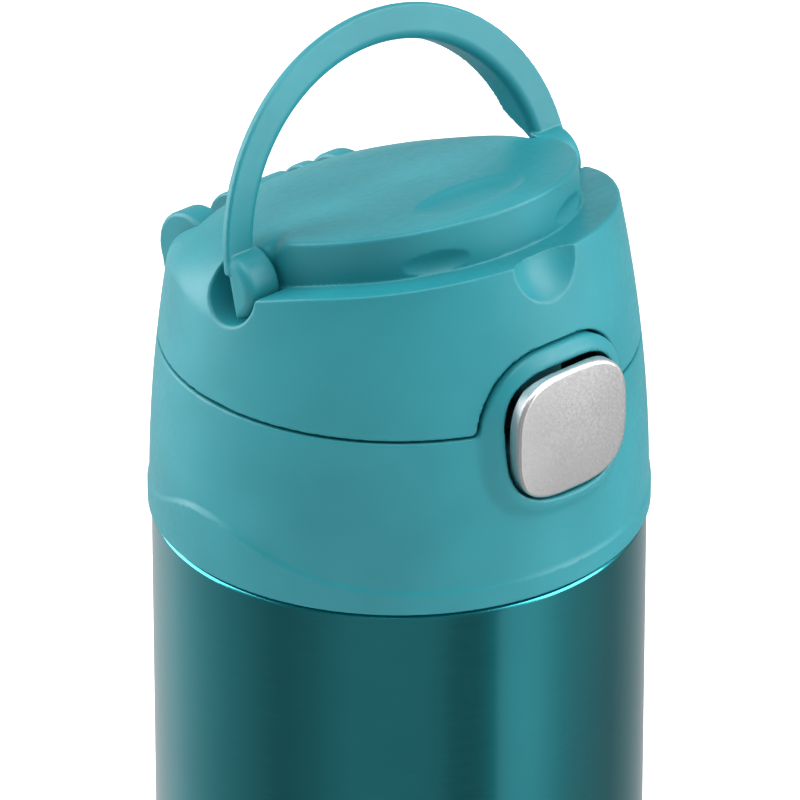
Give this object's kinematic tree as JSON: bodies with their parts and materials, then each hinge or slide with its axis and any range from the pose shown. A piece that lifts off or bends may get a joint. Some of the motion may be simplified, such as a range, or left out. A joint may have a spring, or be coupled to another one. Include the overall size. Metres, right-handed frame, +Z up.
{
  "type": "insulated straw bottle",
  "caption": "Double-walled steel bottle with a screw-on straw lid, a flip-open cover released by a push button, and a swing carry handle.",
  "frame": {"origin": "centre of the base, on the surface the bottle stands on", "axes": "+Z up along the bottle, -Y towards the push button, +Y towards the rear hinge, +X to the side"},
  "size_m": [0.0712, 0.0719, 0.2101],
  "materials": {
    "lacquered_steel": "glossy translucent teal lacquer over steel",
    "brushed_steel": "satin",
    "copper_foil": "bright copper-coated foil",
    "getter_alloy": "sintered",
    "solder_glass": "fused bead",
    "silicone": "translucent silicone",
    "teal_plastic": "fine satin moulding",
    "inner_teal_plastic": "plain moulding",
    "straw_plastic": "clear-white tube",
    "spring_steel": "drawn",
    "satin_silver": "satin silver plating",
    "carrier_plastic": "plain moulding"
  },
  "bodies": {
    "bottle": {"outer_shell": "lacquered_steel", "inner_shell": "brushed_steel", "inner_bottom": "brushed_steel", "heat_foil": "copper_foil", "base_cap": "brushed_steel", "getter_pill": "getter_alloy", "vacuum_seal": "solder_glass"},
    "lid_seal": {"lid_gasket": "silicone"},
    "lid": {"lid_collar": "teal_plastic", "lid_core": "inner_teal_plastic", "mouthpiece": "silicone", "vent_valve": "silicone", "straw": "straw_plastic", "hinge_pin": "spring_steel", "hinge_spring": "spring_steel"},
    "button": {"button_cap": "satin_silver", "button_carrier": "carrier_plastic", "button_spring": "spring_steel"},
    "cover": {"cover_shell": "teal_plastic", "cover_liner": "inner_teal_plastic"},
    "handle": {"carry_handle": "teal_plastic"}
  },
  "joints": [
    {"name": "lid_rise", "type": "slide", "parent": "bottle", "child": "lid_seal", "axis": [0, 0, 1], "range_m": [0, 0.00602]},
    {"name": "lid_turn", "type": "hinge", "parent": "lid_seal", "child": "lid", "pos_m": [0, 0, 0.156], "axis": [0, 0, 1], "range_deg": [0, 540]},
    {"name": "button_push", "type": "slide", "parent": "lid", "child": "button", "axis": [0, 1, 0], "range_m": [0, 0.002], "stiffness_N_per_m": 1500, "springref_m": -0.001, "deforming": ["button_spring"]},
    {"name": "cover_flip", "type": "hinge", "parent": "lid", "child": "cover", "pos_m": [0, 0.024, 0.1722], "axis": [-1, 0, 0], "range_deg": [0, 105]},
    {"name": "handle_swing", "type": "hinge", "parent": "cover", "child": "handle", "pos_m": [0, 0.00035, 0.1802], "axis": [1, 0, 0], "range_deg": [0, 62]}
  ],
  "couplings": [
    {"joint": "lid_rise", "follows": "lid_turn", "m_per_rad": 0.00063662}
  ]
}
